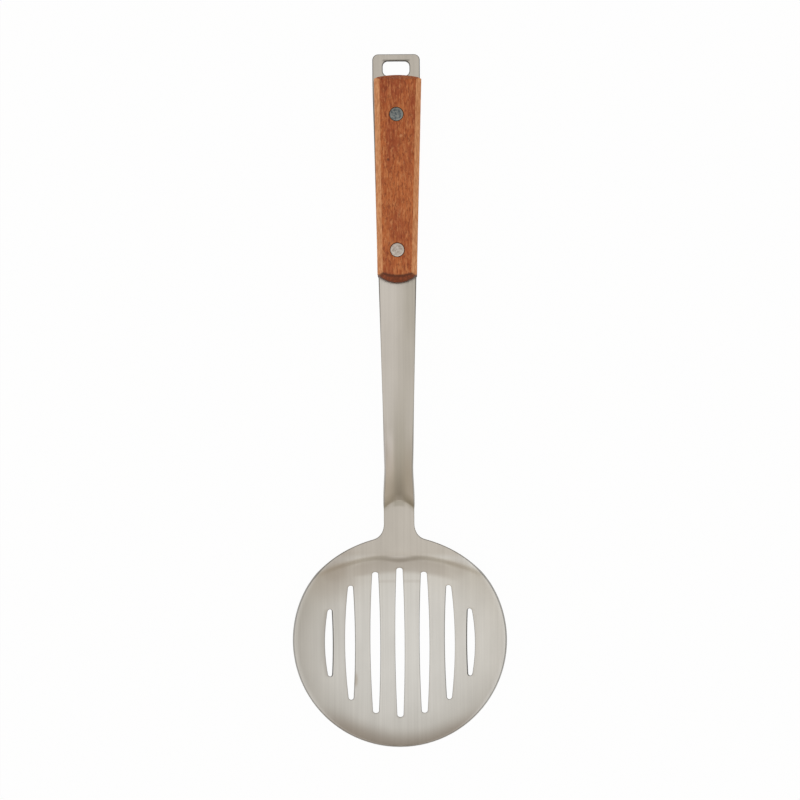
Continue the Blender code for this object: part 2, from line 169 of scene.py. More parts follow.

# Share of the edge's colour, a painted shade, on the cut edges
DISH_EDGE = 0.47
NECK_EDGE = 0.3
TAB_EDGE = 0.85
SLOT_EDGE = 0.9                 # on the walls of the two outermost drain slots
BAR_REACH = 0.45 * MM           # within this of the hanging slot's upper wall it is whole
BAR_FACE = 0.45                 # and on the sheet's faces there it is this
RIM_EDGE = 0.9                  # on the tab, the upper face's rim takes this much of it

# Stretches of the sheet with painted shade or painted highlight, darker or lighter than the rest.
# A row gives the change, then what the stretch is measured along and where it starts, is whole,
# is last whole and ends, then what it is measured across and where there is none of it and all
# of it, in millimetres.
STRETCHES = (
    (-0.13, "y", (-54, -30), "x", (-4, 5.5)),               # the shank's right side
    (-0.09, "y", (25, 40, 60, 90), "x", (1.5, 6)),          # and by the scales' lower end
    (-0.10, "y", (135, 150), "x", (5, -5)),                 # the tab's left side
    (-0.22, "y", (-53, -49, -30, 18), "aside", (6, 0.5)),   # the middle of the flute
    (-0.19, "bend", (-3.6, -2.2, 0.1, 0.9), "aside", (4, 1.5)),     # just before the bend's line
    (0.16, "bend", (-0.8, 0.3, 1.4, 3.8), "aside", (3.2, 0.5)),     # the middle of that line
    (0.26, "y", (-46, -32, -24, -12), "x", (-1, -5)),       # a painted highlight on the shank's left
    (0.12, "crease", (-6, -4.6, -2.8, -1.4), "aside", (9, 3)),      # the dish before the crease
)
BEND_SHADE = (0.05, 0.27)        # painted shade: the bend's middle and sides are darker by this
BEND_LEFT = 0.65                # on the left by this share of it
BEND_BOW = 62.0                 # the bend's line bows back by this times X squared
BEND_LINE_SHADE = 0.1                 # painted shade: the line's sides are darker by this
SHANK_HIGHLIGHT = 0.085            # and a painted highlight makes the shank past it brighter

# Painted shade in the dish, where its slopes and crease reflect darker, with places in the object's
# frame
CREASE_BAND_SHADE = 0.46             # along the crease
CROSS_LINE_SHADE = 0.17             # in a faint line across at LINE_Y
LINE_Y = -93.4 * MM
LEFT_SIDE_SHADE = 0.03             # on the left side
TIP_SHADE = 0.75              # round the dish's tip
TIP_SHIFT = 2.5 * MM            # the tip's painted shade lies more on its left
SHADOW_PATCHES = (                     # painted shadows beside the crease: place, radius and strength
    ((-34.0 * MM, -88.0 * MM, 10.0 * MM), 21 * MM, 0.37),
    ((-33.0 * MM, -87.0 * MM, 10.0 * MM), 9 * MM, 0.22),
    ((28.5 * MM, -86.0 * MM, 10.0 * MM), 9 * MM, 0.25),
)
STAIN_SQUEEZE = 0.35            # Y is squeezed by this, so the stain is longer along it
STAIN = ((-23.2 * MM, -144.0 * MM * STAIN_SQUEEZE, 5.0 * MM), 2 * MM, 0.45)

# Wood
WOOD_RED = (0.405, 0.086, 0.022, 1.0)
WOOD_ORANGE = (0.565, 0.157, 0.040, 1.0)
WOOD_PALE = (0.62, 0.25, 0.10, 1.0)
WOOD_STREAK = (0.87, 0.43, 0.20, 1.0)
WOOD_DARK = (0.20, 0.031, 0.006, 1.0)
WOOD_LIGHT = (0.72, 0.30, 0.11, 1.0)
# The next two colours are painted shade on the end bevels, strongest at the lower end.
WOOD_END_SHADE = (0.185, 0.045, 0.016, 1.0)
WOOD_END_SHADE_PALE = (0.42, 0.10, 0.036, 1.0)
# The next colour darkens the dark pit and the lower bevel's edge, and is painted shade on the lower
# end's wall.
WOOD_BLACK = (0.07, 0.020, 0.010, 1.0)
TAB_RED = 0.45                  # the wood is redder by this share near the tab
RAY_SHARE = 0.53
FLECK_SHARE = 0.57
PLANED_FLECKS = 0.45            # share of the flecks on the side bevels
PLANED_SHARE = 0.93
ARRIS_SHARE = 0.85
FIBRE_RANGE = (0.82, 1.16)
FIBRE_POWERS = (1.0, 1.8, 2.6)  # dark fibres are redder

# Small marks on the front scale: place, radius and strength
PALE_CHIP = ((2.3 * MM, 134.9 * MM, 16.6 * MM), 1.1 * MM, 0.5)
DARK_PIT = ((-4.4 * MM, 122.6 * MM, 18.0 * MM), 1 * MM, 0.7)

# Rivet heads, each mottled between two greys; the first pair is a painted reflection on the upper
# post's head
REFLECTION_GREYS = ((0.10, 0.125, 0.14, 1.0), (0.25, 0.26, 0.245, 1.0))
GROUND_GREYS = ((0.42, 0.365, 0.315, 1.0), (0.58, 0.525, 0.47, 1.0))

# Floor and light. A pair gives the parts of a direction where a form starts and is whole.
WHITE = (1.0, 1.0, 1.0, 1.0)
FLOOR_COLOUR = (0.95, 0.95, 0.95, 1.0)
FLOOR_HALF = 60.0
FLOOR_DROP = 0.02 * MM
FLOOR_WHITE = 0.97              # share of plain white in the floor that the camera sees
CEILING_COLOUR = (1.0, 0.99, 0.975, 1.0)
CEILING = (0.59, 0.91)
WALL_COLOUR = (1.0, 0.905, 0.77, 1.0)
WALL_LIGHT = 0.33
HORIZON = (0.45, 0.0)
HORIZON_LIGHT = 0.6
LEFT_WING = 0.3                 # pale wings low on the dish's side of the room
RIGHT_WING = 0.36
WING_SIDE = (0.05, 0.35)
WING_FRONT = (-0.3, -0.6)
FAR_DARK = 0.35                 # darker middle of the wall on the tab's side
FAR_FRONT = (0.6, 0.74)
FAR_SIDE = (0.5, 0.2)
BACKDROP = (0.06, 0.02)
SOFTBOX_SPREAD = math.radians(55.0)
SOFTBOXES = (                   # name, direction and power
    ("left_softbox", (-0.85, -0.1, 0.5), 0.24),
    ("right_softbox", (0.85, 0.1, 0.55), 0.04),
)


def smooth_max(a, b, rounding):
    return 0.5 * (a + b + np.sqrt((a - b) ** 2 + rounding ** 2))


def smooth_min(a, b, rounding):
    return -smooth_max(-a, -b, rounding)


def ease(value, start, end):
    """0 at start, 1 at end, level at both."""
    t = np.clip((value - start) / (end - start), 0.0, 1.0)
    return t * t * (3.0 - 2.0 * t)


def quarter(steps):
    """Angles from 0 to a quarter turn."""
    return np.linspace(0.0, math.pi / 2, steps)


def slopes(height, x, y):
    """Slopes of a height formula along x and along y."""
    step = 0.02 * MM
    return ((height(x + step, y) - height(x - step, y)) / (2 * step),
            (height(x, y + step) - height(x, y - step)) / (2 * step))


def bezier(start, handle_a, handle_b, end, steps):
    """Points of a cubic curve between start and end."""
    t = np.linspace(0.0, 1.0, steps + 1)[:, None]
    start, handle_a, handle_b, end = map(np.array, (start, handle_a, handle_b, end))
    return ((1 - t) ** 3 * start + 3 * (1 - t) ** 2 * t * handle_a
            + 3 * (1 - t) * t ** 2 * handle_b + t ** 3 * end)


def strip_half_width(station):
    """Half width of neck, shank and tang: an eased waist plus a straight taper."""
    waist = NECK_HALF + (SHANK_HALF - NECK_HALF) * ease(station, BEND_STATION, WAIST_STATION)
    taper = (station - WAIST_STATION) / (TAB_STATION - WAIST_STATION)
    return waist + (TAB_HALF - SHANK_HALF) * np.clip(taper, 0.0, 1.0)


def outline_path():
    """Right-hand outline of the sheet as (half width, station), moved in by the edge's rounding.

    It is the rim's circle, the shoulder and fillet curves, the strip and the tab's corner arc,
    each point moved by EDGE along the normal of the path.
    """
    shoulder = math.asin(SHOULDER_STATION / DISH_RADIUS)
    turn = np.linspace(-math.pi / 2, shoulder, 400)
    circle = DISH_RADIUS * np.stack((np.cos(turn), np.sin(turn)), axis=1)
    along = np.array((-math.sin(shoulder), math.cos(shoulder)))
    run = np.array(SHOULDER_RUN)
    fillet = np.array((NECK_HALF + FILLET_START[0] * NECK_FILLET,
                       NECK_STATION - FILLET_START[1] * NECK_FILLET))
    shoulder_curve = bezier(circle[-1], circle[-1] + SHOULDER_REACH * along,
                            fillet + SHOULDER_HANDLE * SHOULDER_REACH * run, fillet, 120)
    handle = FILLET_HANDLE * NECK_FILLET
    fillet_curve = bezier(fillet, fillet - handle * run, (NECK_HALF, NECK_STATION - handle),
                          (NECK_HALF, NECK_STATION), 60)
    stations = np.linspace(NECK_STATION, END_STATION - TAB_CORNER, 600)
    strip = np.stack((strip_half_width(stations), stations), axis=1)
    turn = quarter(60)
    centre = (TAB_HALF - TAB_CORNER, END_STATION - TAB_CORNER)
    corner = centre + TAB_CORNER * np.stack((np.cos(turn), np.sin(turn)), axis=1)
    path = np.concatenate((circle, shoulder_curve[1:], fillet_curve[1:], strip[1:], corner[1:]))
    step = np.gradient(path, axis=0)
    normal = np.stack((step[:, 1], -step[:, 0]), axis=1)
    normal /= np.linalg.norm(normal, axis=1)[:, None]
    inset = path - EDGE * normal
    inset[0] = (0.0, -DISH_RADIUS + EDGE)
    return inset


def tang_height():
    """Height of the tang's middle plane at the scales' lower tip."""
    corner = SCALE_LENGTH - END_BEVEL_RUN
    below = SHEET / 2 + FIT + SCALE_THICKNESS
    return corner * math.sin(HANDLE_FALL) + below * math.cos(HANDLE_FALL)


def crease_station(x):
    """Station of the crease, bent back towards both rims."""
    return CREASE_STATION - CREASE_BEND * x ** 2


def bowl_height(x, station):
    """Height of the plain bowl: a power of the distance from its middle."""
    return SHEET / 2 + DISH_DEPTH * (np.hypot(x, station) / DISH_RADIUS) ** DISH_FULLNESS


def dish_height(x, station):
    """Height of the dish: the bowl, with a short steeper step before the crease."""
    foot = crease_station(x) - CREASE_DIP * np.exp(-(x / CREASE_DIP_WIDTH) ** 2)
    return bowl_height(x, station) + CREASE_STEP * ease(station, foot - CREASE_RUN, foot)


def neck_height(x, station):
    """Height of the neck plate, which starts from the dish's own height along the crease.

    Before the crease it turns up, so that the lower of plate and dish is the dish there.
    """
    crease = crease_station(x)
    past = station - crease
    lift = np.where(past < 0.0, NECK_TURN * past ** 2, math.tan(NECK_SLOPE) * past)
    return bowl_height(x, crease) + CREASE_STEP + lift


def shank_height(station, across):
    """Height of shank and tang: a cubic from the bend to the straight, plus the flute.

    The flute rises with the square of the distance across, -1 to 1.
    """
    bend = float(neck_height(0.0, BEND_STATION))
    bend_slope = math.tan(BEND_SLOPE)
    fall = -math.tan(HANDLE_FALL)
    straight = tang_height() + fall * (STRAIGHT_STATION - SCALE_STATION)
    span = STRAIGHT_STATION - BEND_STATION
    t = np.clip((station - BEND_STATION) / span, 0.0, 1.0)
    curve = ((2 * t ** 3 - 3 * t ** 2 + 1) * bend + (t ** 3 - 2 * t ** 2 + t) * span * bend_slope
             + (3 * t ** 2 - 2 * t ** 3) * straight + (t ** 3 - t ** 2) * span * fall)
    before = np.minimum(station - BEND_STATION, 0.0) * bend_slope
    after = np.maximum(station - STRAIGHT_STATION, 0.0) * fall
    flute = FLUTE_DEPTH * (1.0 - ease(station, FLUTE_FULL_STATION, FLUTE_END_STATION))
    return curve + before + after + flute * across ** 2


def sheet_height(x, station):
    """Height of the middle surface: the lower of dish and neck, or the shank where it is higher."""
    across = x / strip_half_width(station)
    body = smooth_min(dish_height(x, station), neck_height(x, station), CREASE_ROUND)
    body = body - np.maximum(station - BEND_STATION, 0.0)
    across = np.where(station > FLUTE_START_STATION, across, 0.0)
    return smooth_max(body, shank_height(station, across), BEND_ROUND)


def slot_edges(station, slot):
    """Inner and outer half width of a drain slot: a bowed side, closed by a round end."""
    length, end_width, bow_out, bow_in = slot[1:]
    half = length / 2 + EDGE
    t = np.clip(np.abs(station - SLOTS_STATION) / half, 0.0, 1.0)
    straight = 1.0 - SLOT_END_ROUND / half
    past = np.clip((t - straight) / (1.0 - straight), 0.0, 1.0)
    narrowing = np.sqrt(1.0 - past ** 2)
    return [(end_width / 2 + EDGE + bow * (1 - t ** 2)) * narrowing for bow in (bow_in, bow_out)]


def hang_stations():
    """Lower and upper station of the hanging slot."""
    tang_end = (END_STATION - SCALE_STATION) / math.cos(HANDLE_FALL)
    upper = tang_end - HANG_BAR + EDGE
    lower = tang_end - HANG_BAR - HANG_LENGTH - EDGE
    return [round(SCALE_STATION + v * math.cos(HANDLE_FALL), 5) for v in (lower, upper)]


def hang_half_width(station):
    """Half width of the hanging slot: a rectangle with arcs for corners, closed at both ends."""
    lower, upper = hang_stations()
    corner = HANG_CORNER + EDGE
    past = corner - np.minimum(station - lower, upper - station)
    past = np.clip(past, 0.0, corner)
    return HANG_WIDTH / 2 + EDGE - corner + np.sqrt(corner ** 2 - past ** 2)


def row_stations():
    """Stations of the sheet's rows, close together where an outline or the form turns."""
    rows = [(EDGE - DISH_RADIUS) * np.cos(quarter(26))]
    for slot in SLOTS:
        half = slot[1] / 2 + EDGE
        arc = half - SLOT_END_ROUND * (1.0 - np.sin(quarter(9)))
        rows += [SLOTS_STATION + arc, SLOTS_STATION - arc]
    for stretch in ((-48.0, 36.0, 1.3), (36.0, 92.0, 0.5), (92.0, 142.0, 1.5), (142.0, 288.0, 6.0)):
        rows.append(np.arange(*stretch) * MM)
    lower, upper = hang_stations()
    arc = (HANG_CORNER + EDGE) * (1.0 - np.cos(quarter(10)))
    rows += [lower + arc, upper - arc]
    rows.append(END_STATION - TAB_CORNER + np.sin(quarter(10)) * (TAB_CORNER - EDGE))
    return np.unique(np.round(np.concatenate(rows), 5))


def break_lines(stations, half_width):
    """Left and right edges of the bars between the slots, one row of pairs for each station.

    Each slot has a line of its own. Inside the slot's length the line opens to the slot's two
    edges. Past its ends it stays closed, at a fixed share of the half width, and so runs
    together with its neighbours towards the dish's tip and along the strip.
    """
    lefts = [-half_width]
    rights = []
    places = [(-slot[0], slot, -1) for slot in SLOTS[:0:-1]]
    places += [(slot[0], slot, 1) for slot in SLOTS]
    lower, upper = hang_stations()
    spread = HANG_SPREAD * ease(stations, lower - SPREAD_START, lower - SPREAD_FULL)
    for place, slot, side in places:
        half = slot[1] / 2 + EDGE
        ends = np.round((SLOTS_STATION - half, SLOTS_STATION + half), 5)
        widths = np.interp(ends, stations, half_width)
        share = np.where(stations < SLOTS_STATION, place / widths[0], place / widths[1])
        share = share + (np.sign(place) - share) * np.abs(np.sign(place)) * spread
        inside = (stations > ends[0]) & (stations < ends[1])
        line = np.where(inside, place, share * half_width)
        inner, outer = slot_edges(stations, slot)
        left, right = (inner, outer) if side > 0 else (outer, inner)
        left = np.where(inside, left, 0.0)
        right = np.where(inside, right, 0.0)
        if place == 0.0:
            hanging = (stations > lower) & (stations < upper)
            opened = hang_half_width(stations)
            left = np.where(hanging, opened, left)
            right = np.where(hanging, opened, right)
        rights.append(line - left)
        lefts.append(line + right)
    rights.append(half_width)
    return np.array(lefts), np.array(rights)


def surface_normals(x, station):
    """Unit normals of the middle surface, from the slopes of its height."""
    slope_x, slope_s = slopes(sheet_height, x, station)
    normals = np.stack((-slope_x, -slope_s, np.ones_like(slope_x)), axis=-1)
    return normals / np.linalg.norm(normals, axis=-1)[..., None]


def grid_faces(ids):
    """Four-sided faces of a grid of point numbers."""
    corners = (ids[..., :-1, :-1], ids[..., :-1, 1:], ids[..., 1:, 1:], ids[..., 1:, :-1])
    return np.stack(corners, axis=-1)


def open_edges(*face_sets):
    """Start and end points of the edges that only one face uses, in their faces' direction."""
    start = np.concatenate([faces.ravel() for faces in face_sets])
    end = np.concatenate([np.roll(faces, -1, axis=1).ravel() for faces in face_sets])
    count = start.max() + 1
    single = ~np.isin(start * count + end, end * count + start)
    return start[single], end[single]


def rim_of(face_sets, points, normals):
    """Points on the open edges with the edges' ends among them, and the outward directions.

    A direction is square to the normal and to the line between both neighbours on the rim.
    """
    start, end = open_edges(*face_sets)
    rim = np.unique(start)
    first = np.searchsorted(rim, start)
    second = np.searchsorted(rim, end)
    along = np.zeros((len(rim), 3))
    along[first] += points[end]
    along[second] -= points[start]
    outward = np.cross(along, normals[rim])
    outward /= np.linalg.norm(outward, axis=1)[:, None]
    return (rim, first, second), outward


def close_shell(faces, upper, lower, walls, edges):
    """Points and faces of two surfaces whose rims are joined by rings of wall points.

    The rings run from the upper surface down, and the edges are what rim_of gives.
    """
    rim, first, second = edges
    count = len(upper)
    points = np.concatenate((upper, lower, walls.reshape(-1, 3)))
    ids = np.concatenate((rim, np.arange(2 * count, len(points)), rim + count))
    ids = ids.reshape(-1, len(rim))
    above, below = ids[:-1], ids[1:]
    corners = (above[:, first], below[:, first], below[:, second], above[:, second])
    wall = np.stack(corners, axis=-1).reshape(-1, 4)
    return points, np.concatenate((faces, faces[:, ::-1] + count, wall))


def edge_shade_mask(points, on_faces, rim):
    """Share of the edge's painted shade on each point of the sheet.

    It changes along the cut edges from dish to neck to tab. The first points lie on the sheet's
    two faces and have none, but by the hanging slot's upper wall and on the tab's upper rim.
    """
    side = np.abs(points[:, 0])
    station = points[:, 1] + MIDDLE_STATION
    on_strip = ease(station, NECK_STATION - 4 * MM, NECK_STATION + 4 * MM)
    on_tab = ease(station, STRAIGHT_STATION, SCALE_STATION)
    mask = DISH_EDGE + (NECK_EDGE - DISH_EDGE) * on_strip + (TAB_EDGE - NECK_EDGE) * on_tab
    by_bar = (np.abs(station - hang_stations()[1]) < BAR_REACH) & (side < HANG_WIDTH / 2)
    mask = np.where(by_bar, 1.0, mask)
    slot_x, length = SLOTS[-1][:2]
    by_slot = (np.abs(station - SLOTS_STATION) < length / 2 + MM) & (np.abs(side - slot_x) < 5 * MM)
    mask = np.where(by_slot, SLOT_EDGE, mask)
    on_rim = RIM_EDGE * mask * on_tab
    mask[:on_faces] = np.where(by_bar[:on_faces], BAR_FACE, 0.0)
    mask[rim] = on_rim[rim]
    return mask


def sheet_surface():
    """Points, faces and painted edge shade mask of the stamped sheet with rounded cut edges.

    Bars of seven columns lie between the slots' edges, row by row. Each middle point is moved
    along its normal by half the thickness, up and down, and every open edge is closed by a
    wall whose two corners are quarter circles of radius EDGE.
    """
    stations = row_stations()
    path = outline_path()
    lefts, rights = break_lines(stations, np.interp(stations, path[:, 1], path[:, 0]))
    x = lefts[:, :, None] + (rights - lefts)[:, :, None] * np.linspace(0.0, 1.0, 8)
    station = np.broadcast_to(stations[None, :, None], x.shape)
    ids = np.arange(x.size).reshape(x.shape)
    closed = np.isclose(rights[:-1], lefts[1:], atol=1e-9)
    ids[1:, :, 0] = np.where(closed, ids[:-1, :, -1], ids[1:, :, 0])
    ids[:, 0, :] = ids[0, 0, 0]
    used, compact = np.unique(ids, return_inverse=True)
    x = x.reshape(-1)[used]
    station = station.reshape(-1)[used]
    quads = grid_faces(compact.reshape(ids.shape))
    tip_faces = quads[:, 0].reshape(-1, 4)[:, [0, 2, 3]]
    faces = quads[:, 1:].reshape(-1, 4)

    middle = np.stack((x, station - MIDDLE_STATION, sheet_height(x, station)), axis=-1)
    normals = surface_normals(x, station)
    edges, outward = rim_of((tip_faces, faces), middle, normals)
    rim = edges[0]
    turn = quarter(5)[1:]
    rise = SHEET / 2 - EDGE + EDGE * np.cos(turn)
    rise = np.concatenate((rise, -rise[::-1]))
    out = EDGE * np.sin(turn)
    out = np.concatenate((out, out[::-1]))
    walls = middle[rim] + outward * out[:, None, None] + normals[rim] * rise[:, None, None]
    half = normals * SHEET / 2
    points, quads = close_shell(faces, middle + half, middle - half, walls, edges)
    count = len(middle)
    tips = np.concatenate((tip_faces, tip_faces[:, ::-1] + count))
    return points, tips.tolist() + quads.tolist(), edge_shade_mask(points, 2 * count, rim)


def arc_sag(x, half, rise):
    """Distance at x behind the tip of an arc that rises this much over this half width."""
    radius = (half ** 2 + rise ** 2) / (2 * rise)
    return radius - np.sqrt(np.maximum(radius ** 2 - x ** 2, 0.0))


def scale_half_width(y):
    side = SCALE_LENGTH - SCALE_TOP_ARC - SCALE_LOW_ARC
    return SCALE_LOW_HALF + (SCALE_TOP_HALF - SCALE_LOW_HALF) * (y - SCALE_LOW_ARC) / side


def scale_height(x, y):
    """Height of a scale's planed face: the lowest of the flat, two side and two end bevels."""
    side = scale_half_width(y) - SIDE_BEVEL_WIDTH - np.abs(x)
    low = y - END_BEVEL_RUN - LOW_BEVEL_CURVE * x ** 2
    top = SCALE_LENGTH - END_BEVEL_RUN - y
    end_slope = END_BEVEL_DEPTH / END_BEVEL_RUN
    height = smooth_min(side * SIDE_BEVEL_DEPTH / SIDE_BEVEL_WIDTH, 0.0, WOOD_ROUND)
    height = smooth_min(height, low * end_slope, WOOD_ROUND)
    return SCALE_THICKNESS + smooth_min(height, top * end_slope, WOOD_ROUND)


def scale_grid():
    """Points of a scale's outline filled row by row, close together at the bevels' edges.

    Columns share the flat and the side bevel, which keeps its width. Rows run from the lower
    arc to the lower bevel's edge, along the flat and on to the upper arc. The rows' places and
    the columns' depend on each other, and three rounds settle them.
    """
    near = np.array((0.1, 0.2, 0.35, 0.6, 1.0)) * MM
    bevel = np.array((0.0, 0.1, 0.2, 0.35, 0.6, 0.95, 1.3, 1.65, 2.0, 2.3, 2.5, 2.62)) * MM
    bevel = np.append(bevel, SIDE_BEVEL_WIDTH - WOOD_INSET)
    flat = np.linspace(0.0, 1.0, 9)
    past = np.concatenate((np.full(len(flat), -near[-1]), -near[-2::-1], bevel))
    flat = np.concatenate((flat, np.ones(len(past) - len(flat))))
    flat = np.concatenate((-flat[:0:-1], flat))
    side = np.concatenate((-np.ones(len(past) - 1), np.ones(len(past))))
    past = np.concatenate((past[:0:-1], past))
    ends = np.array((0.0, 0.06, 0.14, 0.25, 0.38, 0.52, 0.66, 0.8, 0.9, 0.96, 1.0))[:, None]
    body = np.linspace(0.0, 1.0, 48)[1:-1, None]
    edge = len(ends)
    body_start = edge + len(near)
    rows = 2 * body_start + len(body)

    y = np.linspace(SCALE_LOW_ARC, SCALE_LENGTH - SCALE_TOP_ARC, rows)[:, None]
    y = np.repeat(y, len(flat), axis=1)
    for _ in range(3):
        inner = scale_half_width(y) - SIDE_BEVEL_WIDTH
        x = np.where(np.abs(flat) < 1.0, flat * (inner - near[-1]), side * (inner + past))
        low_edge = arc_sag(x, SCALE_LOW_HALF, SCALE_LOW_ARC) + WOOD_INSET
        low_line = END_BEVEL_RUN + LOW_BEVEL_CURVE * x ** 2
        top_edge = SCALE_LENGTH - arc_sag(x, SCALE_TOP_HALF, SCALE_TOP_ARC) - WOOD_INSET
        top_line = SCALE_LENGTH - END_BEVEL_RUN + 0.0 * x
        low_part = low_edge[:edge] + (low_line - low_edge)[:edge] * ends
        low_near = low_line[edge:body_start] + near[:, None]
        start = low_line[body_start:-body_start] + near[-1]
        stop = top_line[body_start:-body_start] - near[-1]
        top_near = top_line[-body_start:-edge] - near[::-1, None]
        top_part = top_edge[-edge:] + (top_line - top_edge)[-edge:] * ends[::-1]
        y = np.concatenate((low_part, low_near, start + (stop - start) * body, top_near, top_part))
    return x, y


def to_object(points):
    """Points of the handle's line, which falls towards the tab, in the object's frame."""
    x, y, z = np.moveaxis(points, -1, 0)
    fall_y, fall_z = math.cos(HANDLE_FALL), math.sin(HANDLE_FALL)
    return np.stack((x, SCALE_STATION - MIDDLE_STATION + y * fall_y + z * fall_z,
                     tang_height() - y * fall_z + z * fall_y), axis=-1)


def arris_mask(points, on_wall):
    """1 along the lower bevel's edge, less beside it, and ARRIS_WALL on the lower end's wall, there
    as painted shade.
    """
    x, y = points[:, 0], points[:, 1]
    past = y - END_BEVEL_RUN - LOW_BEVEL_CURVE * x ** 2
    side = np.minimum(scale_half_width(y) - SIDE_BEVEL_WIDTH - np.abs(x), 0.0)
    past -= side * SIDE_BEVEL_DEPTH / SIDE_BEVEL_WIDTH * END_BEVEL_RUN / END_BEVEL_DEPTH
    arris = np.exp(-(past / ARRIS_WIDTH) ** 2) * (points[:, 2] > 0.3 * SCALE_THICKNESS)
    return np.where(on_wall & (y < SCALE_LOW_ARC), ARRIS_WALL, arris)


def scale_surface(facing):
    """Points, faces and arris mask of a wooden scale, front (1) or back (-1).

    The planed face stands over a flat base. Along the outline it turns through an arc of
    radius WOOD_ROUND into an upright wall, which a small round joins to the base.
    """
    x, y = scale_grid()
    faces = grid_faces(np.arange(x.size).reshape(x.shape)).reshape(-1, 4)
    x, y = x.ravel(), y.ravel()
    lean = np.arctan(np.hypot(*slopes(scale_height, x, y)))
    up = np.tile((0.0, 0.0, 1.0), (len(x), 1))
    top = np.stack((x, y, scale_height(x, y)), axis=-1)
    base = np.stack((x, y, np.zeros_like(x)), axis=-1)
    edges, outward = rim_of((faces,), base, up)
    rim = edges[0]
    lean = lean[rim]
    turn = lean + (math.pi / 2 - lean) * np.linspace(0.0, 1.0, 5)[1:, None]
    out = WOOD_INSET * (np.sin(turn) - np.sin(lean)) / (1.0 - np.sin(lean))
    down = WOOD_ROUND * (np.cos(turn) - np.cos(lean))
    arc = top[rim] + outward * out[..., None] + up[rim] * down[..., None]
    turn = math.pi / 2 + quarter(5)[:-1, None]
    out = WOOD_INSET * np.sin(turn)
    lift = WOOD_INSET * (1.0 + np.cos(turn))
    foot = base[rim] + outward * out[..., None] + up[rim] * lift[..., None]
    points, faces = close_shell(faces, top, base, np.concatenate((arc, foot)), edges)
    arris = arris_mask(points, np.arange(len(points)) >= 2 * len(x))
    points[:, 2] += SHEET / 2 + FIT
    if facing > 0:
        c, s = math.cos(SCALE_SKEW), math.sin(SCALE_SKEW)
        pivot = RIVET_PLACES["lower_rivet"]
        x, y = points[:, 0].copy(), points[:, 1] - pivot
        points[:, 0] = x * c + y * s
        points[:, 1] = y * c - x * s + pivot
    else:
        points[:, [0, 2]] *= -1.0
    return points, faces.tolist(), arris


def turned_surface(profile, place, steps=96):
    """Points and faces of a profile of (radius, height) turned round the line through place.

    Both ends of the profile lie on the line and close the surface.
    """
    radius, height = np.array(profile).T
    angle = np.linspace(0.0, 2 * math.pi, steps, endpoint=False)
    rings = np.stack((radius[1:-1, None] * np.cos(angle), radius[1:-1, None] * np.sin(angle),
                      np.repeat(height[1:-1, None], steps, axis=1)), axis=-1).reshape(-1, 3)
    ends = ((0.0, 0.0, height[0]), (0.0, 0.0, height[-1]))
    points = np.concatenate((rings, ends)) + (0.0, place, 0.0)
    ids = np.arange(len(rings)).reshape(-1, steps)
    following = np.roll(ids, -1, axis=1)
    quads = np.stack((ids[:-1], ids[1:], following[1:], following[:-1]), axis=-1).reshape(-1, 4)
    first = np.stack((np.full(steps, len(rings)), ids[0], following[0]), axis=-1)
    last = np.stack((np.full(steps, len(rings) + 1), following[-1], ids[-1]), axis=-1)
    return points, first.tolist() + last.tolist() + quads.tolist()


def head_profile(top):
    """Crown of a rivet's head: a parabola that falls by HEAD_CROWN, then a quarter circle."""
    head = HEAD_DIAMETER / 2
    flat = np.linspace(0.0, 1.0, 12)[:, None] * (head - HEAD_ROUND)
    crown = np.concatenate((flat, top - HEAD_CROWN * (flat / head) ** 2), axis=1)
    turn = quarter(6)[1:, None]
    centre = crown[-1] - (0.0, HEAD_ROUND)
    edge = centre + HEAD_ROUND * np.concatenate((np.sin(turn), np.cos(turn)), axis=1)
    return np.concatenate((crown, edge)).tolist()


def rivet_profiles():
    """Profiles of the post, which comes from the front, and of the socket it is pressed in."""
    top = SHEET / 2 + FIT + SCALE_THICKNESS + HEAD_PROUD
    under_head = top - HEAD_THICKNESS
    head = HEAD_DIAMETER / 2
    post = POST_DIAMETER / 2
    bore = post + FIT
    tube = bore + SOCKET_WALL
    floor = -top + SOCKET_FLOOR
    chamfer = 0.3 * MM
    crown = head_profile(top)
    post_profile = crown + [(head, under_head), (post, under_head),
                            (post, floor + FIT + chamfer), (post - chamfer, floor + FIT),
                            (0.0, floor + FIT)]
    base = [(radius, -height) for radius, height in crown[::-1]]
    socket_profile = [(0.0, floor), (bore, floor), (bore, under_head - FIT),
                      (tube, under_head - FIT), (tube, -under_head), (head, -under_head)] + base
    return {"_post": post_profile, "_socket": socket_profile}


def drill_profile():
    """Stepped drill: a hole for the rivet's tube between two seats for the heads."""
    hole = POST_DIAMETER / 2 + 2 * FIT + SOCKET_WALL
    seat = HEAD_DIAMETER / 2 + FIT
    face = SHEET / 2 + FIT + SCALE_THICKNESS
    step = face + HEAD_PROUD - HEAD_THICKNESS - FIT
    beyond = face + 2 * MM
    return [(0.0, beyond), (seat, beyond), (seat, step), (hole, step),
            (hole, -step), (seat, -step), (seat, -beyond), (0.0, -beyond)]


def add_object(name, data):
    """An object in the scene with the given mesh, lamp or camera."""
    thing = bpy.data.objects.new(name, data)
    bpy.context.scene.collection.objects.link(thing)
    return thing


def new_piece(name, points, faces, sharp=None):
    """A mesh object from points and faces, shaded smooth, with its place in its mesh."""
    mesh = bpy.data.meshes.new(name)
    mesh.from_pydata(points.tolist(), [], faces)
    mesh.update()
    mesh.shade_smooth()
    if sharp is not None:
        mesh.set_sharp_from_angle(angle=sharp)
    return add_object(name, mesh)


def add_mask(piece, name, values):
    """Stores a value from 0 to 1 on each point of a piece, for its material."""
    mask = piece.data.attributes.new(name, 'FLOAT', 'POINT')
    mask.data.foreach_set("value", values.astype(np.float32))


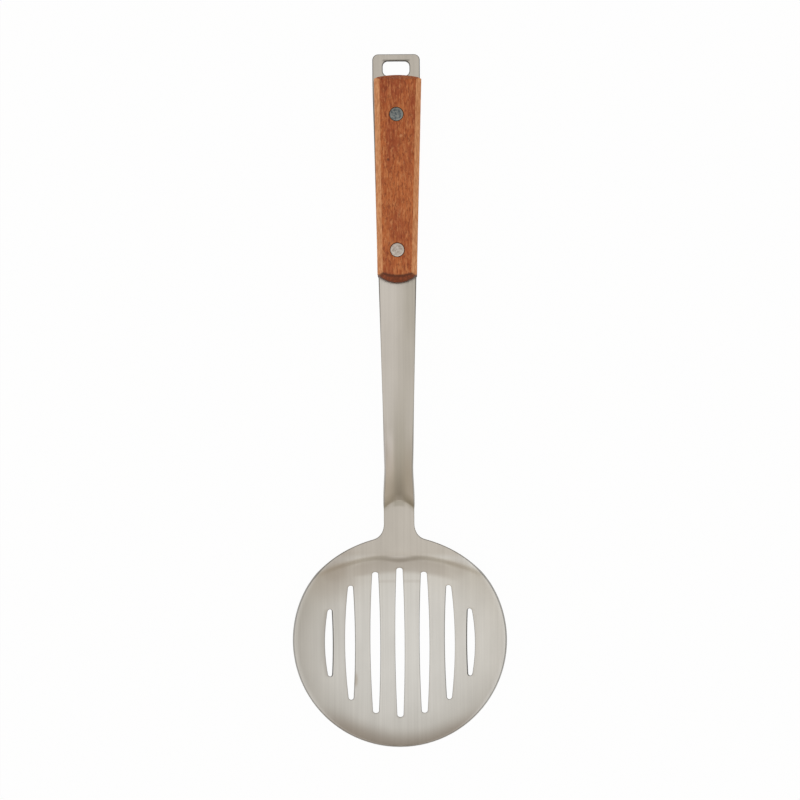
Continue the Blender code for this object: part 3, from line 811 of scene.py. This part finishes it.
def drill_through(piece, drills):
    """Cuts the drills out of a piece for good."""
    for drill in drills:
        modifier = piece.modifiers.new("drilled", 'BOOLEAN')
        modifier.object = drill
        modifier.operation = 'DIFFERENCE'
        modifier.solver = 'EXACT'
    bpy.context.view_layer.update()
    drilled = piece.evaluated_get(bpy.context.evaluated_depsgraph_get())
    mesh = bpy.data.meshes.new_from_object(drilled)
    piece.modifiers.clear()
    piece.data = mesh
    mesh.set_sharp_from_angle(angle=WOOD_SHARP)


def place_piece(piece, node):
    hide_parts(node)
    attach(piece, "root")


def make_body():
    points, faces, on_edge = sheet_surface()
    body = new_piece("stamped_sheet", points, faces)
    # The cut edges get a painted shade, darker than the faces.
    add_mask(body, "cut_edge_shade", on_edge)
    place_piece(body, "skimmer_body")
    return body


def make_scales():
    """Both scales, drilled for the rivets."""
    drills = []
    for name, place in RIVET_PLACES.items():
        points, faces = turned_surface(drill_profile(), place)
        drills.append(new_piece(name + "_drill", to_object(points), faces))
    scales = []
    for node, facing in (("front_scale", 1), ("back_scale", -1)):
        points, faces, arris = scale_surface(facing)
        scale = new_piece("planed_" + node, to_object(points), faces)
        add_mask(scale, "low_arris", arris)
        drill_through(scale, drills)
        place_piece(scale, node)
        scales.append(scale)
    for drill in drills:
        bpy.data.objects.remove(drill)
    return scales


def make_rivets():
    """Post and socket of each rivet, by the name of its node."""
    rivets = {}
    for name, place in RIVET_PLACES.items():
        for suffix, profile in rivet_profiles().items():
            points, faces = turned_surface(profile, place)
            node = name + suffix
            rivets[node] = new_piece("turned_" + node, to_object(points), faces, RIVET_SHARP)
            place_piece(rivets[node], node)
    return rivets


def make_camera():
    """Straight above the skimmer, with its top towards the top of the picture."""
    data = bpy.data.cameras.new("camera")
    data.sensor_width = 36.0
    data.lens = FOCAL_PIXELS * data.sensor_width / PICTURE_PIXELS
    camera = add_object("camera", data)
    camera.location = (CAMERA_SIDE, 0.0, RIM_HEIGHT + FOCAL_PIXELS * PIXEL)
    camera.rotation_euler = (0.0, 0.0, -CAMERA_ROLL)
    bpy.context.scene.camera = camera


def add_node(tree, kind, inputs=(), **settings):
    """Adds a shader node, sets it up, and fills inputs with values or other nodes' outputs."""
    node = tree.nodes.new('ShaderNode' + kind)
    for name, value in settings.items():
        setattr(node, name, value)
    for socket, value in dict(inputs).items():
        if isinstance(value, bpy.types.NodeSocket):
            tree.links.new(value, node.inputs[socket])
        else:
            node.inputs[socket].default_value = value
    return node


def math_node(tree, operation, first, *others):
    """The first value joined with each of the others in turn."""
    for other in others or (0.0,):
        node = add_node(tree, 'Math', {0: first, 1: other}, operation=operation)
        first = node.outputs[0]
    return first


def product(tree, *values):
    return math_node(tree, 'MULTIPLY', *values)


def total(tree, *values):
    return math_node(tree, 'ADD', *values)


def remap(tree, value, start, end, low=0.0, high=1.0):
    """Low up to start, high past end, eased in between."""
    node = add_node(tree, 'MapRange', {'Value': value, 'From Min': start, 'From Max': end,
                                       'To Min': low, 'To Max': high},
                    interpolation_type='SMOOTHSTEP')
    return node.outputs['Result']


def fade(tree, place, start, end, low=0.0, high=1.0):
    """The same with start and end in millimetres."""
    return remap(tree, place, start * MM, end * MM, low, high)


def window(tree, place, start, full, last=None, end=None):
    """0 up to start, 1 from full on and, where end is given, 0 again past it, in millimetres."""
    rise = fade(tree, place, start, full)
    return rise if last is None else product(tree, rise, fade(tree, place, end, last))


def split(tree, vector):
    """X, Y and Z of a vector."""
    return add_node(tree, 'SeparateXYZ', {0: vector}).outputs


def distance(tree, vector, centre):
    return add_node(tree, 'VectorMath', {0: vector, 1: centre}, operation='DISTANCE').outputs[1]


def past_line(tree, axes, line_y, bow):
    """Distance along Y past a line across the skimmer that bows back by bow times X squared."""
    straight = math_node(tree, 'SUBTRACT', axes[1], line_y)
    return total(tree, straight, product(tree, axes[0], axes[0], bow))


def spot(tree, vector, centre, radius, strength):
    """A soft round spot: strength at its centre, nothing past its radius."""
    return remap(tree, distance(tree, vector, centre), radius, 0.3 * radius, 0.0, strength)


def blend(tree, factor, first, second, mode='MIX'):
    """Colour between first and second, or second laid over first in the given mode."""
    node = add_node(tree, 'Mix', {0: factor, 6: first, 7: second},
                    data_type='RGBA', blend_type=mode)
    return node.outputs[2]


def shade_colour(tree, colour, shade, powers=(1.0, 1.0, 1.0)):
    """Colour times the shade, which is raised to a power of its own in red, green and blue."""
    shades = [math_node(tree, 'POWER', shade, power) for power in powers]
    tint = add_node(tree, 'CombineColor', dict(enumerate(shades)))
    return blend(tree, 1.0, colour, tint.outputs[0], 'MULTIPLY')


def stretched_noise(tree, vector, scale, detail, roughness, shift=(0.0, 0.0, 0.0)):
    """Noise whose grains measure about one over scale along each axis, in metres."""
    mapping = add_node(tree, 'Mapping', {'Vector': vector, 'Location': shift, 'Scale': scale})
    noise = add_node(tree, 'TexNoise', {'Vector': mapping.outputs[0], 'Scale': 1.0,
                                        'Detail': detail, 'Roughness': roughness})
    return noise.outputs[0]


def new_group(name):
    """An empty node group that takes object coordinates, and the socket that gives them."""
    group = bpy.data.node_groups.new(name, 'ShaderNodeTree')
    group.interface.new_socket("Vector", in_out='INPUT', socket_type='NodeSocketVector')
    return group, group.nodes.new('NodeGroupInput').outputs["Vector"]


def give_outputs(group, **values):
    """Ends a node group with an output of its own name for each value."""
    for name in values:
        group.interface.new_socket(name, in_out='OUTPUT', socket_type='NodeSocketFloat')
    end = group.nodes.new('NodeGroupOutput')
    for name, value in values.items():
        group.links.new(value, end.inputs[name])
    return group


def brush_group():
    """Lines of a belt grinder along Y: tone and height of fine and coarse lines, and smudges."""
    group, vector = new_group("brush_lines")
    fine = stretched_noise(group, vector, (3600.0, 22.0, 0.0), 3.0, 0.6)
    coarse = stretched_noise(group, vector, (850.0, 7.0, 0.0), 3.0, 0.55)
    smudges = stretched_noise(group, vector, (55.0, 30.0, 55.0), 3.0, 0.5)
    both = total(group, product(group, fine, 0.45), product(group, coarse, 0.55))
    return give_outputs(group, Tone=remap(group, both, 0.3, 0.7), Smudges=smudges, Height=fine)


def wood_group():
    """Beech-like grain along Y: fibres, short dark flecks and pale rays, wide drifts, relief."""
    group, vector = new_group("wood_grain")
    fibres = stretched_noise(group, vector, (1500.0, 130.0, 1500.0), 4.0, 0.6)
    flecks = stretched_noise(group, vector, (1150.0, 360.0, 1150.0), 4.0, 0.72)
    rays = stretched_noise(group, vector, (880.0, 290.0, 880.0), 4.0, 0.7, (0.7, 0.4, 0.2))
    streaks = stretched_noise(group, vector, (1300.0, 260.0, 1300.0), 3.0, 0.65)
    drift = stretched_noise(group, vector, (160.0, 38.0, 160.0), 3.0, 0.5, (0.3, 0.5, 0.1))
    flecks = remap(group, flecks, 0.5, 0.62)
    relief = math_node(group, 'SUBTRACT', fibres, product(group, flecks, 0.4))
    return give_outputs(group, Fibres=fibres, Flecks=flecks, Rays=remap(group, rays, 0.46, 0.66),
                        Streaks=remap(group, streaks, 0.36, 0.64), Drift=drift, Height=relief)


def new_material(name, **sockets):
    """A material with a Principled shader whose constant values are set on its own sockets."""
    material = bpy.data.materials.new(name)
    material.use_nodes = True
    tree = material.node_tree
    shader = tree.nodes["Principled BSDF"]
    for socket, value in sockets.items():
        shader.inputs[socket.replace("_", " ")].default_value = value
    return material, tree, shader, add_node(tree, 'TexCoord').outputs


def set_finish(tree, shader, colour, roughness, height, strength, depth):
    """Gives the shader its colour, its roughness and a relief of some strength and depth."""
    tree.links.new(colour, shader.inputs['Base Color'])
    tree.links.new(roughness, shader.inputs['Roughness'])
    bump = add_node(tree, 'Bump', {'Strength': strength, 'Distance': depth, 'Height': height})
    tree.links.new(bump.outputs[0], shader.inputs['Normal'])


def stored_mask(tree, name):
    return add_node(tree, 'Attribute', attribute_name=name).outputs['Fac']


def shank_shade(tree, axes):
    """Painted shade and highlight on the sheet: 1, changed in each of the stretches, at the bend and
    past it.

    A stretch is a window along the sheet times a fade across it. The bend's part is none before
    the neck plate, because its bowed line runs on over the dish.
    """
    x, y = axes[0], axes[1]
    aside = math_node(tree, 'ABSOLUTE', x)
    past = past_line(tree, axes, BEND_Y, BEND_BOW)
    measures = {"x": x, "y": y, "aside": aside, "bend": past,
                "crease": math_node(tree, 'SUBTRACT', y, CREASE_Y)}
    changes = [product(tree, window(tree, measures[along], *places),
                       fade(tree, measures[across], *edges, 0.0, change))
               for change, along, places, across, edges in STRETCHES]
    bend = product(tree, window(tree, past, -3.5, 0.5, 1, 6),
                   fade(tree, aside, 1, 5.5, *BEND_SHADE))
    line = product(tree, window(tree, past, -0.8, 0.3, 0.5, 3.2),
                   fade(tree, aside, 1.2, 4, 0.0, BEND_LINE_SHADE))
    # painted shade in the bend and along the foot of its line
    dim = product(tree, total(tree, bend, line), fade(tree, x, -4, 2, BEND_LEFT, 1.0))
    bend = math_node(tree, 'SUBTRACT', fade(tree, past, -1, 2, 0.0, SHANK_HIGHLIGHT), dim)
    return total(tree, 1.0, *changes, product(tree, fade(tree, y, -64, -60), bend))


def dish_shade(tree, vector, axes):
    """Share of painted shade in the dish: before the crease, beside it, on the left and at the tip.
    """
    x, y = axes[0], axes[1]
    aside = math_node(tree, 'ABSOLUTE', x)
    band = product(tree, window(tree, past_line(tree, axes, CREASE_Y, CREASE_BEND),
                                -12, -8.8, -5, -1.5),
                   fade(tree, aside, 34, 20, 0.0, CREASE_BAND_SHADE))
    off_line = math_node(tree, 'ABSOLUTE', math_node(tree, 'SUBTRACT', y, LINE_Y))
    line = product(tree, fade(tree, off_line, 1.3, 0.2, 0.0, CROSS_LINE_SHADE),
                   fade(tree, aside, 17, 12))
    patches = total(tree, *[spot(tree, vector, *patch) for patch in SHADOW_PATCHES])
    side = fade(tree, x, -30, -47, 0.0, LEFT_SIDE_SHADE)
    out = distance(tree, vector, (TIP_SHIFT, -MIDDLE_STATION, DISH_DEPTH))
    tip = product(tree, fade(tree, out, 44.5, 54, 0.0, TIP_SHADE),
                  fade(tree, y, -154, -170))
    return total(tree, math_node(tree, 'MAXIMUM', band, line, patches), side, tip)


def steel_material(group):
    """Brushed stainless steel, brighter inside the dish, with painted shade and highlight, and
    painted shade darkening its cut edges.
    """
    material, tree, shader, place = new_material("brushed_steel", Metallic=1.0, Anisotropic=0.55)
    vector = place['Object']
    axes = split(tree, vector)
    brush = add_node(tree, 'Group', {'Vector': vector}, node_tree=group).outputs
    colour = blend(tree, remap(tree, axes[1], CREASE_Y, CREASE_Y - 4 * MM),
                   NECK_COLOUR, DISH_COLOUR)
    # Painted shade and highlight along the shank, the bend and before the crease.
    colour = shade_colour(tree, colour, shank_shade(tree, axes), SHADE_POWERS)
    tone = remap(tree, brush['Tone'], 0.0, 1.0, *TONE_RANGE)
    haze = remap(tree, brush['Smudges'], 0.3, 0.7, *HAZE_RANGE)
    colour = shade_colour(tree, colour, product(tree, tone, haze))
    # Painted shade in the dish.
    colour = blend(tree, dish_shade(tree, vector, axes), colour, DISH_SHADE_COLOUR)
    squeezed = add_node(tree, 'Mapping', {'Vector': vector, 'Scale': (1.0, STAIN_SQUEEZE, 1.0)})
    colour = blend(tree, spot(tree, squeezed.outputs[0], *STAIN), colour, STAIN_COLOUR)
    # Painted shade on the cut edges; the same mask also makes them rougher.
    edge = stored_mask(tree, "cut_edge_shade")
    colour = blend(tree, edge, colour, EDGE_SHADE_COLOUR)
    rough = total(tree, STEEL_ROUGHNESS, remap(tree, brush['Tone'], 0.0, 1.0, 0.03, -0.02),
                  remap(tree, brush['Smudges'], 0.3, 0.7, 0.03, 0.0), product(tree, edge, 0.15))
    tangent = add_node(tree, 'Tangent', direction_type='UV_MAP', uv_map="across")
    tree.links.new(tangent.outputs[0], shader.inputs['Tangent'])
    set_finish(tree, shader, colour, rough, brush['Height'], 0.12, 0.01 * MM)
    return material


def wood_material(group):
    """Oiled red-brown wood, more orange towards the dish, paler on the planed side bevels, with
    painted shade on the lower end.
    """
    material, tree, shader, place = new_material("stained_wood", Specular_IOR_Level=0.3)
    vector = place['Object']
    y = split(tree, vector)[1]
    grain = add_node(tree, 'Group', {'Vector': vector}, node_tree=group).outputs
    warmth = math_node(tree, 'SUBTRACT', remap(tree, grain['Drift'], 0.3, 0.7),
                       fade(tree, y, 90, 165, 0.0, TAB_RED))
    face = blend(tree, remap(tree, warmth, -0.3, 0.9), WOOD_RED, WOOD_ORANGE)
    rays = product(tree, grain['Rays'], RAY_SHARE)
    flecks = product(tree, grain['Flecks'], FLECK_SHARE)
    face = blend(tree, flecks, blend(tree, rays, face, WOOD_LIGHT), WOOD_DARK)
    fibre = remap(tree, grain['Fibres'], 0.3, 0.7, *FIBRE_RANGE)
    face = shade_colour(tree, face, fibre, FIBRE_POWERS)
    planed = blend(tree, grain['Streaks'], WOOD_PALE, WOOD_STREAK)
    planed = blend(tree, product(tree, grain['Flecks'], PLANED_FLECKS), planed, WOOD_ORANGE)
    normal = split(tree, place['Normal'])
    sideways = math_node(tree, 'ABSOLUTE', normal[0])
    lengthways = math_node(tree, 'ABSOLUTE', normal[1])
    colour = blend(tree, remap(tree, sideways, 0.3, 0.62, 0.0, PLANED_SHARE), face, planed)
    colour = blend(tree, spot(tree, vector, *PALE_CHIP), colour, WOOD_STREAK)
    colour = blend(tree, spot(tree, vector, *DARK_PIT), colour, WOOD_BLACK)
    # Painted shade on the end faces, strongest at the lower end, faint by the tab.
    end_shade = product(tree, remap(tree, lengthways, 0.35, 0.62),
                        fade(tree, y, 60, 160, 1.0, 0.1))
    colour = blend(tree, end_shade, colour, blend(tree, rays, WOOD_END_SHADE, WOOD_END_SHADE_PALE))
    # A dark line along the lower bevel's edge, and painted shade on the lower end's wall.
    arris = product(tree, stored_mask(tree, "low_arris"), ARRIS_SHARE)
    colour = blend(tree, arris, colour, WOOD_BLACK)
    rough = remap(tree, grain['Fibres'], 0.3, 0.7, 0.56, 0.44)
    set_finish(tree, shader, colour, rough, grain['Height'], 0.35, 0.06 * MM)
    return material


def rivet_material(name, rivet, dim, bright):
    """Ground steel mottled between two greys, with a painted highlight round the head's edge, most on
    the right.
    """
    material, tree, shader, place = new_material(name, Metallic=1.0)
    vector = place['Object']
    mottle = stretched_noise(tree, vector, (900.0, 900.0, 900.0), 3.0, 0.6)
    middle = to_object(np.array((0.0, RIVET_PLACES[rivet], SHEET / 2 + FIT + SCALE_THICKNESS)))
    inside = remap(tree, spot(tree, vector, middle, HEAD_DIAMETER / 2, 1.0), 0.0, 0.4)
    # painted highlight round the head's edge, most on the right
    rim_highlight = product(tree, math_node(tree, 'SUBTRACT', 1.0, inside),
                    fade(tree, split(tree, vector)[0], -2, 1.5, 0.25, 1.1))
    colour = blend(tree, total(tree, remap(tree, mottle, 0.35, 0.65), rim_highlight), dim, bright)
    rough = remap(tree, mottle, 0.3, 0.7, 0.5, 0.34)
    set_finish(tree, shader, colour, rough, mottle, 0.3, 0.03 * MM)
    return material


def dress(piece, material):
    piece.data.materials.clear()
    piece.data.materials.append(material)


def add_uv_across(piece):
    """UV map whose U runs along X, so that highlights spread across the brush lines."""
    mesh = piece.data
    corners = np.empty(len(mesh.loops), dtype=np.int32)
    mesh.loops.foreach_get("vertex_index", corners)
    points = np.empty(len(mesh.vertices) * 3)
    mesh.vertices.foreach_get("co", points)
    flat = points.reshape(-1, 3)[corners, :2] * 3.0 + 0.5
    mesh.uv_layers.new(name="across").uv.foreach_set("vector", flat.ravel())


def make_floor():
    """White floor under the skimmer, white to the camera and in reflections, with its shadow."""
    mesh = bpy.data.meshes.new("floor")
    corners = [(x * FLOOR_HALF, y * FLOOR_HALF, -FLOOR_DROP)
               for x, y in ((-1, -1), (1, -1), (1, 1), (-1, 1))]
    mesh.from_pydata(corners, [], [(0, 1, 2, 3)])
    floor = add_object("floor", mesh)
    material = bpy.data.materials.new("pale_floor")
    material.use_nodes = True
    tree = material.node_tree
    tree.nodes.clear()
    plain = add_node(tree, 'BsdfDiffuse', {'Color': FLOOR_COLOUR})
    white = add_node(tree, 'Emission', {'Color': WHITE, 'Strength': 1.0})
    path = add_node(tree, 'LightPath').outputs
    seen = math_node(tree, 'MAXIMUM', path['Is Camera Ray'], path['Is Glossy Ray'],
                     path['Is Transmission Ray'])
    mixed = add_node(tree, 'MixShader', {0: product(tree, seen, FLOOR_WHITE),
                                         1: plain.outputs[0], 2: white.outputs[0]})
    add_node(tree, 'OutputMaterial', {0: mixed.outputs[0]})
    mesh.materials.append(material)


def make_world():
    """Studio surroundings, whose light and colour follow from the direction alone.

    A wide bright ceiling lies over darker upper walls, which grow paler towards the horizon.
    Two pale wings stand low on the dish's side, and the middle of the wall on the tab's side is
    darker. From just above the horizon down all is white, like the floor.
    """
    world = bpy.data.worlds.new("studio")
    bpy.context.scene.world = world
    world.use_nodes = True
    tree = world.node_tree
    tree.nodes.clear()
    x, y, z = split(tree, add_node(tree, 'TexCoord').outputs['Generated'])
    ceiling = remap(tree, z, *CEILING, WALL_LIGHT, 1.0)
    horizon = remap(tree, z, *HORIZON, 0.0, HORIZON_LIGHT - WALL_LIGHT)
    left = remap(tree, x, -WING_SIDE[0], -WING_SIDE[1], 0.0, LEFT_WING)
    right = remap(tree, x, *WING_SIDE, 0.0, RIGHT_WING)
    wings = product(tree, total(tree, left, right), remap(tree, y, *WING_FRONT))
    far = product(tree, remap(tree, y, *FAR_FRONT, 0.0, FAR_DARK),
                  remap(tree, math_node(tree, 'ABSOLUTE', x), *FAR_SIDE))
    light = product(tree, total(tree, ceiling, horizon, wings),
                    math_node(tree, 'SUBTRACT', 1.0, far))
    backdrop = remap(tree, z, *BACKDROP)
    colour = blend(tree, remap(tree, z, *CEILING), WALL_COLOUR, CEILING_COLOUR)
    background = add_node(tree, 'Background', {
        'Color': blend(tree, backdrop, colour, WHITE),
        'Strength': math_node(tree, 'MAXIMUM', light, backdrop)})
    add_node(tree, 'OutputWorld', {0: background.outputs[0]})


def make_softbox(name, towards, power):
    """A far softbox: parallel light from a wide disc in the given direction."""
    data = bpy.data.lights.new(name, 'SUN')
    data.energy = power
    data.angle = SOFTBOX_SPREAD
    lamp = add_object(name, data)
    lamp.rotation_euler = Vector(towards).to_track_quat('Z', 'Y').to_euler()


body = make_body()
scales = make_scales()
rivets = make_rivets()
add_uv_across(body)
steel = steel_material(brush_group())
wood = wood_material(wood_group())
# The upper post's head takes a painted reflection in dark blue-grey.
reflection_painted = rivet_material("reflection_painted_rivet", "upper_rivet", *REFLECTION_GREYS)
ground = rivet_material("ground_rivet", "lower_rivet", *GROUND_GREYS)
dress(body, steel)
for scale in scales:
    dress(scale, wood)
for node, rivet in rivets.items():
    dress(rivet, reflection_painted if node == "upper_rivet_post" else ground)
make_floor()
make_world()
for softbox in SOFTBOXES:
    make_softbox(*softbox)
make_camera()
bpy.context.scene.view_settings.view_transform = 'Standard'
